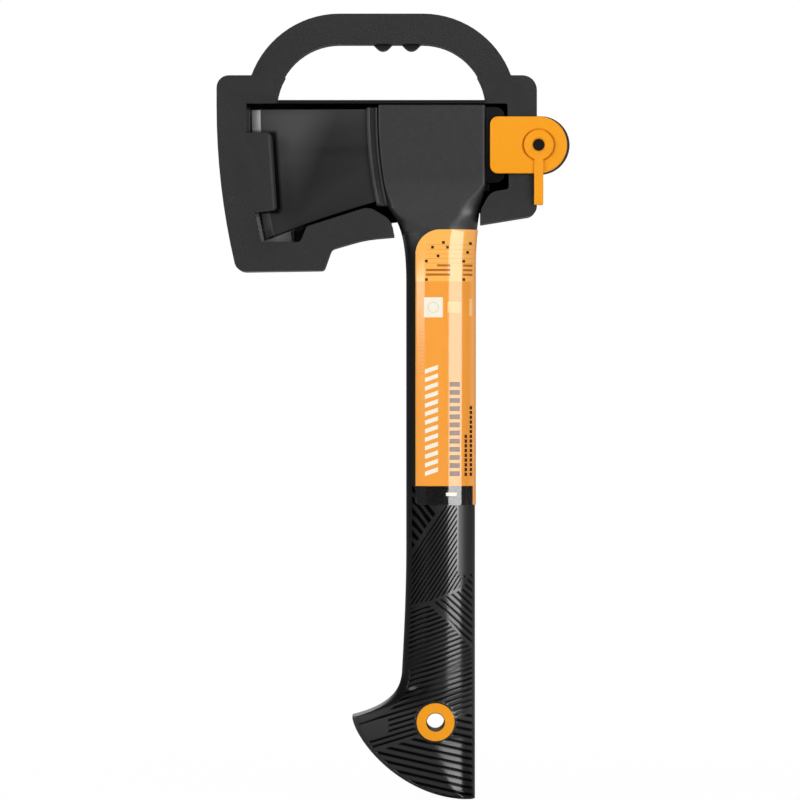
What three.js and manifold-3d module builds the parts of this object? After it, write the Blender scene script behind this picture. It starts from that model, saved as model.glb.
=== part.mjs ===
// A small one-handed felling axe locked in its carry sheath, as separate solids in millimetres.
//
// +X runs from the cutting edge to the poll, +Y from the front to the back of the sheath and +Z from
// the butt to the head. The pieces are drawn about the axe's middle plane (y = 0) with z = 0 at the
// butt. The last group moves them together, so that the origin lies on the sheath's back face.

import * as THREE from "three";
import { mergeVertices } from "three/addons/utils/BufferGeometryUtils.js";
import Module from "manifold-3d";

const wasm = await Module();
wasm.setup();

// ---- Driving dimensions -----------------------------------------------------------------------

const GAP = 0.3; // between pieces that are moulded or pressed together
const CHORD = 0.04; // furthest an arc may lie from its facets
const FAR = 60; // further than any piece reaches from the middle plane

const axe = {
  length: 350.5, // butt to the top of the head housing
  spine: 17.4, // handle's centre line to its back edge
  fingerSide: -17.45, // handle's centre line to its front edge
  housingBack: 22.65, // back of the housing, where the poll begins
  housingHalf: 11.5, // half the thickness of the housing
};

const collar = { x: -37.6, radius: 202, topZ: 345.3, bottomZ: 299.4, half: 8.8, step: 5.4 };

const blade = {
  edgeX: -95.8, // foremost point of the cutting edge
  edgeZ: 348.8, // height of that point
  edgeRadius: 300,
  topZ: 348.5,
  edgeHalf: 0.25,
  bevelWidth: 4.6,
  bevelHalf: 1.9,
  rootWidth: 66, // cutting edge to the end of the wedge, inside the collar
  rootHalf: 6.3,
};

const web = { x0: -40, x1: 24.5, z0: 307, z1: 344, half: 4.5 };

const keying = { holes: [-17, 7], z: 325.5, radius: 5.5 }; // holes that the moulding flows through

const poll = { x1: 32.1, z0: 311, z1: 349.4, half: 10.5, corner: 4.5 };

const eyelet = { x: -2.65, z: 38.9, hole: 4.45, barrel: 6.2, flange: 9.6, flangeThick: 2, seat: 1.6 };

const label = { x: -12.8, z0: 148.4, z1: 287.5, corner: 12.6, lift: 0.15, thick: 0.3 };

const sheath = {
  front: -11.5, // y of the front face
  back: 15, // y of the back face
  skin: 2.5, // front skin and side walls
  rib: 1.8,
  top: 365.3, // shoulders beside the carry loop
  left: -113.2,
  right: 48.5,
  pocketTop: 351,
  pocketBack: 12.3,
  edgeFloor: 3.5, // y of the floor under the cutting edge
  floorStep: -74, // x where that floor drops to the deep pocket
  ledge: -6, // y of the narrow ledge in front of the cutting edge
  shelf: -3, // y of the small shelf below the blade's front corner
  tabThick: 3,
};

const loop = { left: -51.1, right: -9.1, z: 349, outer: 47.4, inner: 32.1, openingZ: 352.8, back: 3.5 };

const fingerBump = { at: [-29.2, -14.8], half: 4.75, embed: 1, tip: 4, drop: 5 };

const pivot = {
  x: 49.3,
  z: 330,
  shank: 3.8,
  bore: 4,
  hole: 3,
  boss: 9,
  counterbore: 6.8,
  depth: 9.5, // front face to the floor of the counterbore
  ear: 14.6,
  earX: 50.4, // centre of the ear's round end
};

const latch = {
  reach: 24.5, // pivot to the tip of the plate
  half: 14.4, // half the plate's height, and the radius of its round end
  corner: 3.9,
  thick: 2.8,
  ring: 7.5, // radius of the lever's ring
  ringSeat: 8.1, // radius of the recess the ring sits in
  seatDepth: 1,
  ringThick: 2.2,
  armHalf: 2.3,
  armEnd: 30.2, // pivot to the end of the arm
  footLength: 5.5,
  footInset: 0.6, // foot's face behind the arm's
  tipLength: 4, // sloping end of the arm
  tipDrop: 1.6,
  hookDepth: 3.5, // how far the hook reaches down the sheath's edge
  mouth: 3.8, // radius of the chamfer round the ring's hole
  mouthDepth: 0.8,
  retainerRadius: 6.2,
  retainerThick: 1.8,
  capThick: 1.2,
  pinDepth: 1.5, // from the ring's face to the end of the retainer's pin
};

const PRESS = 0.05; // play of pieces pressed together

// ---- Solids -----------------------------------------------------------------------------------

// A closed geometry as a solid, turned right side out.
function solid(geometry) {
  const bare = geometry.clone();
  bare.deleteAttribute("normal");
  bare.deleteAttribute("uv");
  const merged = mergeVertices(bare, 1e-4);
  const index = Array.from(merged.index.array);
  const triangles = [];
  for (let i = 0; i < index.length; i += 3) {
    const [a, b, c] = index.slice(i, i + 3);
    if (a !== b && b !== c && c !== a) triangles.push([a, b, c]);
  }
  const build = (order) =>
    new wasm.Manifold(
      new wasm.Mesh({
        numProp: 3,
        vertProperties: merged.attributes.position.array,
        triVerts: new Uint32Array(triangles.flatMap(order)),
      }),
    );
  const made = build(([a, b, c]) => [a, b, c]);
  return made.volume() > 0 ? made : build(([a, b, c]) => [a, c, b]);
}

const union = (...solids) => solids.reduce((all, one) => all.add(one));

const cut = (body, ...tools) => tools.reduce((rest, tool) => rest.subtract(tool), body);

// A solid as a named mesh with its own material.
function piece(name, made, color, roughness, metalness = 0) {
  const { vertProperties, triVerts, numProp } = made.getMesh();
  const position = new Float32Array((vertProperties.length / numProp) * 3);
  for (let i = 0; i < position.length / 3; i++)
    position.set(vertProperties.subarray(i * numProp, i * numProp + 3), i * 3);
  const geometry = new THREE.BufferGeometry();
  geometry.setAttribute("position", new THREE.BufferAttribute(position, 3));
  geometry.setIndex(new THREE.BufferAttribute(new Uint32Array(triVerts), 1));
  geometry.computeVertexNormals();
  const material = new THREE.MeshStandardMaterial({ color, roughness, metalness });
  const mesh = new THREE.Mesh(geometry, material);
  mesh.name = name;
  return mesh;
}

// Points on an arc, close enough together for CHORD.
function arcPoints(x, z, radius, from, to) {
  const step = 2 * Math.acos(Math.max(0, 1 - CHORD / radius));
  const count = Math.max(2, Math.ceil(Math.abs(to - from) / step));
  return Array.from({ length: count + 1 }, (_, i) => {
    const angle = from + ((to - from) * i) / count;
    return new THREE.Vector2(x + radius * Math.cos(angle), z + radius * Math.sin(angle));
  });
}

// A closed outline through corners [x, z, radius], each rounded by an arc of its radius.
function outline(corners) {
  const at = (i) => new THREE.Vector2(...corners.at(i % corners.length).slice(0, 2));
  const points = corners.flatMap(([x, z, radius = 0], i) => {
    const corner = new THREE.Vector2(x, z);
    if (!radius) return [corner];
    const back = at(i - 1).sub(corner).normalize();
    const on = at(i + 1).sub(corner).normalize();
    const half = Math.acos(THREE.MathUtils.clamp(back.dot(on), -1, 1)) / 2;
    const centre = back.clone().add(on).normalize().multiplyScalar(radius / Math.sin(half)).add(corner);
    const start = back.multiplyScalar(radius / Math.tan(half)).add(corner).sub(centre).angle();
    const end = on.multiplyScalar(radius / Math.tan(half)).add(corner).sub(centre).angle();
    const turn = Math.atan2(Math.sin(end - start), Math.cos(end - start));
    return arcPoints(centre.x, centre.y, radius, start, start + turn);
  });
  return new THREE.Shape(points);
}

// A shape drawn in x and z, given thickness from y0 to y1.
function plate(shape, y0, y1) {
  const geometry = new THREE.ExtrudeGeometry(shape, { depth: y1 - y0, bevelEnabled: false });
  return solid(geometry.rotateX(Math.PI / 2).translate(0, y1, 0));
}

function box(x0, x1, y0, y1, z0, z1) {
  const block = new THREE.BoxGeometry(x1 - x0, y1 - y0, z1 - z0);
  return solid(block.translate((x0 + x1) / 2, (y0 + y1) / 2, (z0 + z1) / 2));
}

// A round bar along y. Its radius may differ at the front end.
function bar(x, z, radius, y0, y1, frontRadius = radius) {
  const sides = Math.max(24, Math.ceil(Math.PI / Math.acos(1 - CHORD / radius)));
  const round = new THREE.CylinderGeometry(radius, frontRadius, y1 - y0, sides);
  return solid(round.translate(x, (y0 + y1) / 2, z));
}

// A shape drawn in y and z, given width from x0 to x1.
function strip(shape, x0, x1) {
  const geometry = new THREE.ExtrudeGeometry(shape, { depth: x1 - x0, bevelEnabled: false });
  const [x, y, z] = [new THREE.Vector3(1, 0, 0), new THREE.Vector3(0, 1, 0), new THREE.Vector3(0, 0, 1)];
  return solid(geometry.applyMatrix4(new THREE.Matrix4().makeBasis(y, z, x)).translate(x0, 0, 0));
}

// ---- Axe head ---------------------------------------------------------------------------------

// The wedge is turned about the centre of the cutting edge's arc, so that its bevel follows the edge.
// grow enlarges every face, which makes the cavity that the handle is moulded round.
function axeHead(grow) {
  const rootRadius = blade.edgeRadius - blade.rootWidth - grow;
  const side = [
    [rootRadius, blade.rootHalf + grow],
    [blade.edgeRadius - blade.bevelWidth, blade.bevelHalf + grow],
    [blade.edgeRadius + grow, blade.edgeHalf + grow],
  ];
  const profile = [...side.map(([r, y]) => [r, -y]), ...side.reverse(), [rootRadius, -side[2][1]]];
  const wedge = solid(new THREE.LatheGeometry(profile.map(([r, y]) => new THREE.Vector2(r, y)), 360)
    .translate(blade.edgeX + blade.edgeRadius, 0, blade.edgeZ));
  const cheek = new THREE.Shape();
  cheek.moveTo(-110, blade.topZ + grow);
  cheek.lineTo(-28, blade.topZ + grow);
  cheek.lineTo(-28, 303.1 - grow);
  cheek.quadraticCurveTo(-62, 293.6 - grow, -89.2, 282.6 - grow);
  cheek.lineTo(-110, 274.2 - grow);
  const wedgeBody = wedge.intersect(plate(cheek, -FAR, FAR));
  const webBody = cut(
    box(web.x0, web.x1 + grow, -web.half - grow, web.half + grow, web.z0 - grow, web.z1 + grow),
    ...keying.holes.map((x) => bar(x, keying.z, keying.radius - grow, -FAR, FAR)),
  );
  const { x1, z0, z1, half, corner } = poll;
  const x0 = axe.housingBack + GAP;
  const block = outline([[x0, z0], [x1, z0, corner], [x1, z1, corner], [x0, z1]]);
  return union(wedgeBody, webBody, plate(block, -half, half));
}

// ---- Handle -----------------------------------------------------------------------------------

// Both edges of the handle, from the butt up, each as [x, z] points on a few curves.
function edgePoints(start, curves) {
  const path = new THREE.Path().moveTo(...start);
  curves.forEach((c) => (c.length === 2 ? path.lineTo(...c) : path.bezierCurveTo(...c)));
  return path.getPoints(14);
}

const housingFront = (z) =>
  collar.x + collar.step + Math.max(0, collar.topZ - z) ** 2 / (2 * collar.radius);

const fingerEdge = edgePoints([10, 0], [
  [-21, 2.2, -43.4, 29.5, -44.8, 41.6], // curved end of the butt
  [-26.5, 46, -20.6, 54, -19.7, 63], // throat of the hook
  [-18.6, 82, axe.fingerSide, 104, axe.fingerSide, 128],
  [axe.fingerSide, 262],
  [-17.6, 284, -21, 292, -26.5, 298.3], // neck, flaring to the housing
  [housingFront(collar.bottomZ), collar.bottomZ],
]);

const spineEdge = edgePoints([axe.spine, 0], [
  [axe.spine, 268],
  [axe.spine, 284, 19.2, 296, axe.housingBack, 310.5],
  [axe.housingBack, axe.length],
]);

// Where an edge lies at height z.
function edgeAt(points, z) {
  const i = points.findIndex((p, k) => k > 0 && p.y >= z);
  if (i < 0) return points.at(-1).x;
  const [a, b] = [points[i - 1], points[i]];
  return b.y === a.y ? b.x : THREE.MathUtils.lerp(a.x, b.x, (z - a.y) / (b.y - a.y));
}

// Half thickness and corner sizes up the handle, blended between stations.
const stations = [
  { z: 0, half: 11.6, front: [1.6, 1.6], back: [31, 11] },
  { z: 26, half: 12.3, front: [2.2, 2.2], back: [31, 12] },
  { z: 42, half: 12.7, front: [2.4, 2.4], back: [22, 12.4] },
  { z: 58, half: 12.6, front: [18, 12.4], back: [18, 12.4] },
  { z: 120, half: 12.2, front: [18, 12], back: [18, 12] },
  { z: 268, half: 11.6, front: [18, 11.4], back: [18, 11.4] },
  { z: 286, half: axe.housingHalf, front: [16, 11], back: [17, 11.2] },
  { z: 296, half: axe.housingHalf, front: [4, 5], back: [11, 7.5] },
  { z: 312, half: axe.housingHalf, front: [1, 1], back: [1.4, 1.4] },
  { z: axe.length, half: axe.housingHalf, front: [1, 1], back: [1.4, 1.4] },
];

function stationAt(z) {
  const i = Math.max(1, stations.findIndex((s) => s.z >= z));
  const [a, b] = [stations[i - 1], stations[i]];
  const mix = THREE.MathUtils.smoothstep(z, a.z, b.z);
  const blend = (p, q) => THREE.MathUtils.lerp(p, q, mix);
  return {
    half: blend(a.half, b.half),
    front: [blend(a.front[0], b.front[0]), blend(a.front[1], b.front[1])],
    back: [blend(a.back[0], b.back[0]), blend(a.back[1], b.back[1])],
  };
}

// The handle's cross-section at height z, grown by an even amount: a box with elliptical corners.
function section(z, grow, steps) {
  const { half, front, back } = stationAt(z);
  const x0 = (z < collar.bottomZ ? edgeAt(fingerEdge, z) : housingFront(z)) - grow;
  const x1 = edgeAt(spineEdge, z) + grow;
  const room = (x1 - x0) / 2 - 0.2;
  const y1 = half + grow;
  const corner = ([rx, ry], sx, sy) => {
    const [a, b] = [Math.min(rx + grow, room), ry + grow];
    const [cx, cy] = [sx > 0 ? x1 - a : x0 + a, sy * (y1 - b)];
    return Array.from({ length: steps + 1 }, (_, i) => {
      const turn = (Math.PI / 2) * (sx * sy > 0 ? i / steps : 1 - i / steps);
      return new THREE.Vector3(cx + sx * a * Math.cos(turn), cy + sy * b * Math.sin(turn), z);
    });
  };
  return [...corner(back, 1, 1), ...corner(front, -1, 1), ...corner(front, -1, -1), ...corner(back, 1, -1)];
}

// A closed skin over rings that all have the same number of points.
function loft(rings) {
  const count = rings[0].length;
  const points = rings.flat();
  const index = [];
  for (let r = 0; r + 1 < rings.length; r++)
    for (let i = 0; i < count; i++) {
      const [a, b] = [r * count + i, r * count + ((i + 1) % count)];
      index.push(a, b, b + count, a, b + count, a + count);
    }
  const last = (rings.length - 1) * count;
  for (let i = 1; i + 1 < count; i++) index.push(0, i + 1, i, last, last + i, last + i + 1);
  const geometry = new THREE.BufferGeometry().setFromPoints(points);
  return solid(geometry.setIndex(index));
}

// Heights of the rings: close together where an edge turns, far apart where it runs straight.
function levels(z0, z1) {
  const all = [...fingerEdge, ...spineEdge].map((p) => p.y);
  for (let z = collar.bottomZ + 6; z < axe.length; z += 6) all.push(z);
  for (let z = 140; z < 262; z += 30) all.push(z);
  const inside = all.filter((z) => z > z0 + 0.4 && z < z1 - 0.4).sort((a, b) => a - b);
  const spaced = inside.filter((z, i) => i === 0 || z - inside[i - 1] > 0.35);
  return [z0, ...spaced, z1];
}

const handleSkin = (z0, z1, grow, steps) => loft(levels(z0, z1).map((z) => section(z, grow, steps)));

function handleBody() {
  const { x, radius, topZ, bottomZ, half, step } = collar;
  const top = Math.asin((axe.length - topZ) / radius);
  const bottom = Math.asin((bottomZ - topZ) / radius);
  const lip = arcPoints(x + radius, topZ, radius, Math.PI - top, Math.PI - bottom);
  const inner = arcPoints(x + radius + step + 2, topZ, radius, Math.PI - bottom, Math.PI - top);
  const collarBand = plate(new THREE.Shape([...lip, ...inner]), -half, half);
  const hollow = loft([18, 26, 60, 150, 250, 285].map((z, i, all) => {
    const taper = i === 0 || i === all.length - 1 ? 3 : 0;
    return hollowRing(z, 13.2 - taper, 7.6 - taper);
  }));
  const { z, seat, barrel, flange } = eyelet;
  const face = stationAt(z).half - seat;
  const bore = bar(eyelet.x, z, barrel + 3 * PRESS, -FAR, FAR);
  const seats = [-1, 1].map((s) =>
    s < 0 ? bar(eyelet.x, z, flange + GAP, -FAR, -face) : bar(eyelet.x, z, flange + GAP, face, FAR));
  return cut(union(handleSkin(0, axe.length, 0, 6), collarBand), axeHead(GAP), hollow, bore, ...seats);
}

// One oval ring of the hollow inside the handle.
function hollowRing(z, rx, ry) {
  return Array.from({ length: 20 }, (_, i) => {
    const turn = (2 * Math.PI * i) / 20;
    return new THREE.Vector3(rx * Math.cos(turn), ry * Math.sin(turn), z);
  });
}

// ---- Lanyard eyelet and label -----------------------------------------------------------------

const eyeletFace = stationAt(eyelet.z).half - eyelet.seat + PRESS; // inner side of each flange

// The front half carries the barrel, and the back half is a ring pressed over the barrel's end.
function eyeletFront() {
  const { x, z, barrel, flange, flangeThick, hole } = eyelet;
  const outside = eyeletFace + flangeThick;
  return cut(
    union(bar(x, z, flange, -outside, -eyeletFace), bar(x, z, barrel, -outside, outside - 0.2)),
    bar(x, z, hole, -FAR, FAR),
  );
}

function eyeletBack() {
  const { x, z, barrel, flange, flangeThick } = eyelet;
  return cut(bar(x, z, flange, eyeletFace, eyeletFace + flangeThick), bar(x, z, barrel + PRESS, -FAR, FAR));
}

// A thin film round the spine, open along the finger side.
function labelSleeve() {
  const { x, z0, z1, corner, lift, thick } = label;
  const film = cut(handleSkin(z0, z1, lift + thick, 6), handleSkin(z0 - 2, z1 + 2, lift, 6));
  const cover = outline([[x, z0 - 1], [FAR, z0 - 1], [FAR, z1 + 1], [x, z1, corner]]);
  return film.intersect(plate(cover, -FAR, FAR));
}

// ---- Sheath -----------------------------------------------------------------------------------

const bodyOutline = outline([
  [sheath.left, sheath.top, 6.2],
  [sheath.left, 309.6, 348],
  [-103.1, 266.2, 5.5],
  [-59, 266.9, 2],
  [-55.2, 277.7, 3.2],
  [-38, 282.7, 60],
  [-23.3, 284],
  [-24.9, 291.5],
  [20.2, 296.8],
  [20.2, 290.2],
  [sheath.right, 294.8, 5],
  [sheath.right, sheath.top, 7.4],
]);

// The pocket that the head lies in. The handle leaves it through the gap at the bottom.
const pocketOutline = outline([
  [-98.1, sheath.pocketTop],
  [33.6, sheath.pocketTop, 1],
  [34.3, 308, 1.5],
  [24.9, 306.3, 7],
  [20.2, 297.5, 6],
  [20.2, 262],
  [-23.3, 262],
  [-23.3, 284],
  [-25.4, 292.6, 9],
  [-36.4, 299, 8],
  [-67.6, 289.1, 2],
  [-70.9, 281.2, 2.2],
  [-90.8, 281.2],
  [-98.1, 316.5, 200],
]);

// Steps in the shallow end of the pocket: one along its side wall and one on its bottom wall.
const ledgeOutline = outline([
  [-99, 352],
  [-96.4, 352],
  [-96.4, 316.5, 200],
  [-89.1, 281.2],
  [-89.1, 280],
  [-99, 280],
]);
const shelfOutline = outline([[-92, 280], [-91, 281.3], [-76, 287], [-74.5, 280]]);

// The middle tab that reaches over the cutting edge, and the window behind it.
const tabOutline = outline([[-100.5, 336.5], [-85.2, 336.5, 3.4], [-82.6, 297.2, 2.4], [-100.5, 295]]);
const tabWindow = outline([[-99, 335], [-84.5, 335, 2], [-82, 299, 2], [-95, 297.4]]);

const leftChannel = outline([
  [-110.7, 362.8, 3.7],
  [-110.7, 309.4, 320],
  [-101.2, 268.7, 3],
  [-60.7, 269.4, 1.5],
  [-57.2, 280.1, 4],
  [-38, 285.4, 57],
  [-27.4, 286.4],
  [-28.6, 290.9, 1],
  [-36.4, 296.2, 4.5],
  [-65.7, 286.9, 1],
  [-69.1, 278.7, 1],
  [-92.8, 278.7, 1],
  [-100.6, 316.2, 200],
  [-100.6, 353.5, 1],
  [-84.9, 353.5, 1],
  [-82.3, 362.8, 1],
]);

const rightChannel = outline([
  [26, 362.8, 1],
  [23.4, 353.5, 1],
  [36.1, 353.5, 1],
  [36.1, 305.8, 1],
  [26.5, 303.8, 4],
  [22.7, 296.4, 3],
  [22.7, 293.2],
  [46.3, 297, 2.5],
  [46.3, 362.8, 4.9],
]);

// The carry loop's outline: two arcs joined by a flat top and closed along a straight base.
function loopOutline(radius, baseZ) {
  const drop = Math.asin((baseZ - loop.z) / radius);
  return new THREE.Shape([
    ...arcPoints(loop.right, loop.z, radius, drop, Math.PI / 2),
    ...arcPoints(loop.left, loop.z, radius, Math.PI / 2, Math.PI - drop),
  ]);
}

// A rounded finger bump on the underside of the loop, set back from its front face.
function bump(x) {
  const under = loop.z + loop.inner;
  const { half, embed, tip, drop } = fingerBump;
  const side = half + embed;
  const shape = outline([[x - side, under + embed], [x, under - half, tip], [x + side, under + embed]]);
  return plate(shape, sheath.front + drop, loop.back);
}

// Thin walls left standing across the hollow backs of the frame and of the loop.
const frameRibs = [278, 296, 314, 332, 350].map((z) => box(-2 * FAR, FAR, -FAR, FAR, z, z + sheath.rib));

const loopRibs = [20, 55, 90, 125, 160].map((degrees) => {
  const middles = [loop.right, (loop.left + loop.right) / 2, loop.left];
  const middle = middles[1 + Math.sign(degrees - 90)];
  const reach = 2 * loop.outer;
  const rib = new THREE.BoxGeometry(reach, 2 * FAR, sheath.rib).translate(reach / 2, 0, 0);
  return solid(rib.rotateY(THREE.MathUtils.degToRad(-degrees)).translate(middle, 0, loop.z));
});

const channelFront = sheath.front + sheath.skin;

// The loop, hollow from the back, on top of the frame. It runs down a little into the shoulders.
function carryLoop(frame) {
  const arch = plate(loopOutline(loop.outer, sheath.top - 0.5), sheath.front, loop.back);
  const channel = cut(
    plate(loopOutline(loop.outer - sheath.skin, sheath.top), channelFront, FAR),
    plate(loopOutline(loop.inner + sheath.skin, loop.openingZ), -FAR, FAR),
    ...loopRibs,
  );
  return cut(union(arch, frame), channel);
}

// The round ear behind the latch, hollow from the back round the pivot's boss.
function latchEar() {
  const { front, right } = sheath;
  const { x, z, ear, earX, boss, depth } = pivot;
  const tip = earX + ear;
  const root = right - sheath.skin;
  const shape = outline([[root, z + ear], [tip, z + ear, ear], [tip, z - ear, ear], [root, z - ear]]);
  const ring = cut(bar(earX, z, ear - sheath.skin, channelFront, FAR), bar(x, z, boss, -FAR, FAR));
  return cut(plate(shape, front, front + depth), ring.intersect(box(right, 2 * FAR, -FAR, FAR, 0, 2 * z)));
}

// Everything that the head and the handle's housing need, and the relief behind the shallow floor.
function pocket() {
  const { front, pocketBack, edgeFloor, floorStep, ledge, shelf, skin } = sheath;
  const deep = plate(pocketOutline, front - 1, pocketBack).intersect(box(floorStep, FAR, -FAR, FAR, 0, 400));
  const shallow = cut(
    plate(pocketOutline, front - 1, edgeFloor),
    plate(ledgeOutline, ledge, FAR),
    plate(shelfOutline, shelf, FAR),
  );
  const relief = box(-97, floorStep - skin, edgeFloor + skin, FAR, 283.5, 349);
  return union(deep, shallow, relief.intersect(plate(pocketOutline, -FAR, FAR)));
}

function sheathBody() {
  const { front, back, edgeFloor, tabThick } = sheath;
  const { x, z, boss, bore, counterbore, depth } = pivot;
  const frame = carryLoop(plate(bodyOutline, front, back));
  const hollowFrame = cut(
    frame,
    plate(loopOutline(loop.inner, loop.openingZ), -FAR, FAR),
    pocket(),
    plate(tabWindow, edgeFloor - 1, FAR),
    cut(plate(leftChannel, channelFront, FAR), ...frameRibs),
    cut(plate(rightChannel, channelFront, FAR), ...frameRibs),
  );
  return cut(
    union(
      hollowFrame,
      plate(tabOutline, front, front + tabThick),
      latchEar(),
      bar(x, z, boss, front, back),
      ...fingerBump.at.map(bump),
    ),
    bar(x, z, bore, -FAR, FAR),
    bar(x, z, counterbore, front + depth, FAR),
  );
}

// ---- Latch ------------------------------------------------------------------------------------

const plateBack = sheath.front - GAP; // underside of the latch plate
const plateFront = plateBack - latch.thick;
const ringBack = plateFront + latch.seatDepth - PRESS;
const ringFront = ringBack - latch.ringThick;
const retainerFront = sheath.front + pivot.depth + PRESS;
const shankEnd = retainerFront + latch.retainerThick;

function latchPlate() {
  const { reach, half, corner, ringSeat, seatDepth } = latch;
  const { x, z, shank } = pivot;
  const shape = outline([
    [x - reach, z - half, corner],
    [x + half, z - half, half],
    [x + half, z + half, half],
    [x - reach, z + half, corner],
  ]);
  return cut(
    plate(shape, plateFront, plateBack),
    bar(x, z, shank + 2 * PRESS, -FAR, FAR),
    bar(x, z, ringSeat, -FAR, plateFront + seatDepth),
  );
}

// Ring, arm and hollow shank in one piece. The foot of the arm hooks round the sheath's edge.
function latchLever() {
  const { ring, armHalf, armEnd, footLength, footInset, tipLength, tipDrop, hookDepth } = latch;
  const { x, z, shank, hole } = pivot;
  const [left, right, end] = [x - armHalf, x + armHalf, z - armEnd];
  const arm = outline([[left, z], [right, z], [right, end], [left, end]]);
  const footFront = ringFront + footInset;
  const over = footInset + 1; // clear of the tip on all sides
  const tipSlope = outline([
    [ringFront - over, end + tipLength],
    [ringFront, end + tipLength],
    [ringFront + tipDrop, end],
    [ringFront + tipDrop, end - over],
    [ringFront - over, end - over],
  ]);
  return cut(
    union(
      bar(x, z, ring, ringFront, ringBack),
      bar(x, z, shank, ringFront, shankEnd),
      plate(arm, ringFront, plateFront - PRESS),
      box(left, right, footFront, plateBack, end, end + footLength),
      box(sheath.right + GAP, right, footFront, sheath.front + hookDepth, end, end + footLength),
    ),
    bar(x, z, hole, -FAR, FAR),
    bar(x, z, hole, ringFront, ringFront + latch.mouthDepth, latch.mouth),
    strip(tipSlope, left - over, right + over),
  );
}

// A push rivet: a ring round the shank's end, a cap behind it, and a pin that fills the hollow shank.
function latchRetainer() {
  const { retainerRadius, capThick, pinDepth } = latch;
  const { x, z, shank, hole } = pivot;
  const capBack = shankEnd + PRESS + capThick;
  return union(
    cut(
      bar(x, z, retainerRadius, retainerFront, capBack),
      bar(x, z, shank + PRESS, retainerFront - 1, shankEnd + PRESS),
    ),
    bar(x, z, hole - PRESS, ringFront + pinDepth, capBack),
  );
}

// ---- Assembly ---------------------------------------------------------------------------------

const BLACK = 0x2b2b2c;
const ORANGE = 0xf59b1e;

const axePieces = new THREE.Group();
axePieces.add(
  piece("axe_head", axeHead(0), 0x2c2c2e, 0.35, 0.8),
  piece("handle", handleBody(), BLACK, 0.5),
  piece("eyelet_front", eyeletFront(), ORANGE, 0.4),
  piece("eyelet_back", eyeletBack(), ORANGE, 0.4),
  piece("label_sleeve", labelSleeve(), 0xf0a040, 0.25),
);

const sheathPieces = new THREE.Group();
sheathPieces.add(
  piece("sheath_body", sheathBody(), 0x38383a, 0.6),
  piece("latch_plate", latchPlate(), ORANGE, 0.4),
  piece("latch_lever", latchLever(), ORANGE, 0.4),
  piece("latch_retainer", latchRetainer(), BLACK, 0.5),
);

const sheathedAxe = new THREE.Group();
sheathedAxe.position.set(0, -sheath.back, -pivot.z);
sheathedAxe.add(axePieces, sheathPieces);

const root = new THREE.Group();
root.add(sheathedAxe);
export default root;
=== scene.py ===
"""A one-handed axe locked in its carry sheath: the visual model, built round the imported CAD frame.

The drawing sizes below are millimetres in the axe's own drawing: x from the handle's centre line
towards the poll, y from the middle plane towards the back, z up from the butt. place() carries them
into the frame, in metres.
"""

import math

import bmesh
import bpy
import numpy as np
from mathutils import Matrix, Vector


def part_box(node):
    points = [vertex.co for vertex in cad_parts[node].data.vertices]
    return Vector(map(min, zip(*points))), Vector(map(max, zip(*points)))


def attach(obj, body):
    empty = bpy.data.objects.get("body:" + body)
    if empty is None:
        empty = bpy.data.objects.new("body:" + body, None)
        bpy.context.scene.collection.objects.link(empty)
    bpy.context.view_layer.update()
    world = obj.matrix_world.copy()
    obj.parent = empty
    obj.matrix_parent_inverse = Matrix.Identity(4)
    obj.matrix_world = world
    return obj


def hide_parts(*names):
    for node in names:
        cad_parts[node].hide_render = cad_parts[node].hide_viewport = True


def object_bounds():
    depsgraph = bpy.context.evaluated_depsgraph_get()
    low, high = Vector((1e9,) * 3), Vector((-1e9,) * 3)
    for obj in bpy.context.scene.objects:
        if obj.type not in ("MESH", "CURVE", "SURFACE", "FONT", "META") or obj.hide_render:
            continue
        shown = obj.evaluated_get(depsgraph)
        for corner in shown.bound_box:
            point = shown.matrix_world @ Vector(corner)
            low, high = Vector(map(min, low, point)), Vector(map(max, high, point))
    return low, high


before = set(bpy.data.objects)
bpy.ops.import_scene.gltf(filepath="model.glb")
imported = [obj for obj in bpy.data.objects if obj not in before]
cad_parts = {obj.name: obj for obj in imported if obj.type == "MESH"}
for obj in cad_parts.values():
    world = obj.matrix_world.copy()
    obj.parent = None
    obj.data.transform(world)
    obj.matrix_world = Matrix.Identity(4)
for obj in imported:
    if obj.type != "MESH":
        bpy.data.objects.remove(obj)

CAD_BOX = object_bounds()
AXE = "sheathed_axe"
LATCH = "latch"
MM = 0.001

# ---- Where the CAD puts things ----------------------------------------------------------------

handle_low, handle_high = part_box("handle")
label_low, label_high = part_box("label_sleeve")
eyelet_low, eyelet_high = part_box("eyelet_front")
EDGE_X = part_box("axe_head")[0].x
SHEATH_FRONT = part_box("sheath_body")[0].y

MIDDLE_Y = (handle_low.y + handle_high.y) / 2
BUTT_Z = handle_low.z


def place(points):
    """Drawing points in millimetres, as frame points in metres."""
    return np.asarray(points, float) * MM + np.array([0.0, MIDDLE_Y, BUTT_Z])


LENGTH = (handle_high.z - handle_low.z) / MM
HOUSING_BACK = handle_high.x / MM
EYELET_X = (eyelet_low.x + eyelet_high.x) / 2 / MM
EYELET_Z = ((eyelet_low.z + eyelet_high.z) / 2 - BUTT_Z) / MM
EYELET_R = (eyelet_high.x - eyelet_low.x) / 2 / MM
LABEL_Z0 = (label_low.z - BUTT_Z) / MM
LABEL_Z1 = (label_high.z - BUTT_Z) / MM
LABEL_X = label_low.x / MM

# ---- The handle's shape -----------------------------------------------------------------------

SPINE = 17.4
FINGER_SIDE = -17.45
NECK_FOOT = 262.0
HOOK_TIP = (-44.8, 41.6)
THROAT_END = (-19.7, 63.0)
# The collar's front line: straight above its top, and an arc from there down to its bottom.
COLLAR = {"x": -37.6, "radius": 202.0, "top": 345.3, "bottom": 299.4, "end": 349.4, "step": 6.0}


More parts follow.
